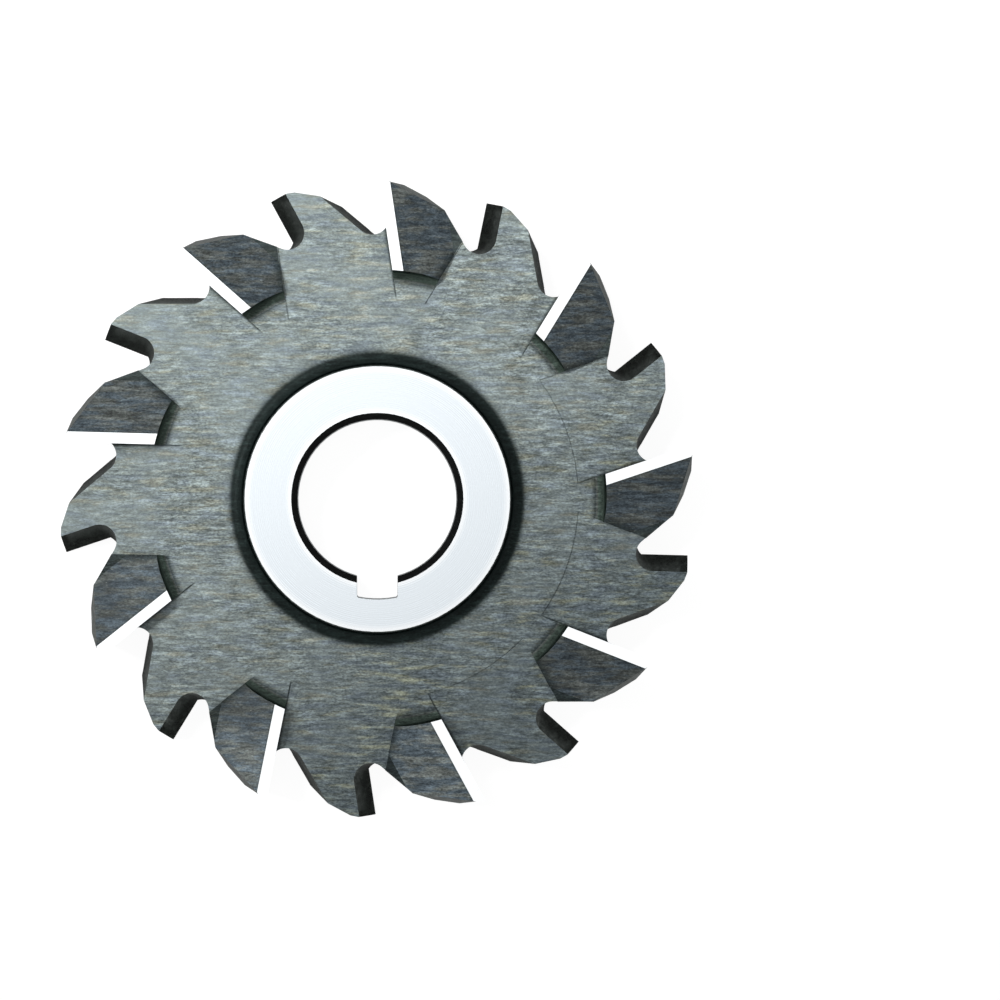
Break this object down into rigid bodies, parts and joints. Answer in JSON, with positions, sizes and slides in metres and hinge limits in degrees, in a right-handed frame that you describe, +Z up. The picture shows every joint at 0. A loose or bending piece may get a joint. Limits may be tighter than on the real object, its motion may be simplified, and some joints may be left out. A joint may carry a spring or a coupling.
{
  "type": "side and face milling cutter",
  "caption": "Disc-shaped steel milling cutter with staggered teeth on its rim and both faces, a raised hub and a keyed central bore.",
  "frame": {"origin": "centre of the bore, on the plane of the lower hub face and lower side teeth", "axes": "+Z up the bore; +Y away from the keyway, so the keyway is on the -Y side of the bore; +X to the right of +Y seen from above"},
  "size_m": [0.101, 0.1016, 0.0127],
  "materials": {
    "cutter_steel": "ground tool steel: bright lands and hub faces, grey milled webs and gashes"
  },
  "bodies": {
    "root": {"cutter": "cutter_steel"}
  },
  "joints": []
}
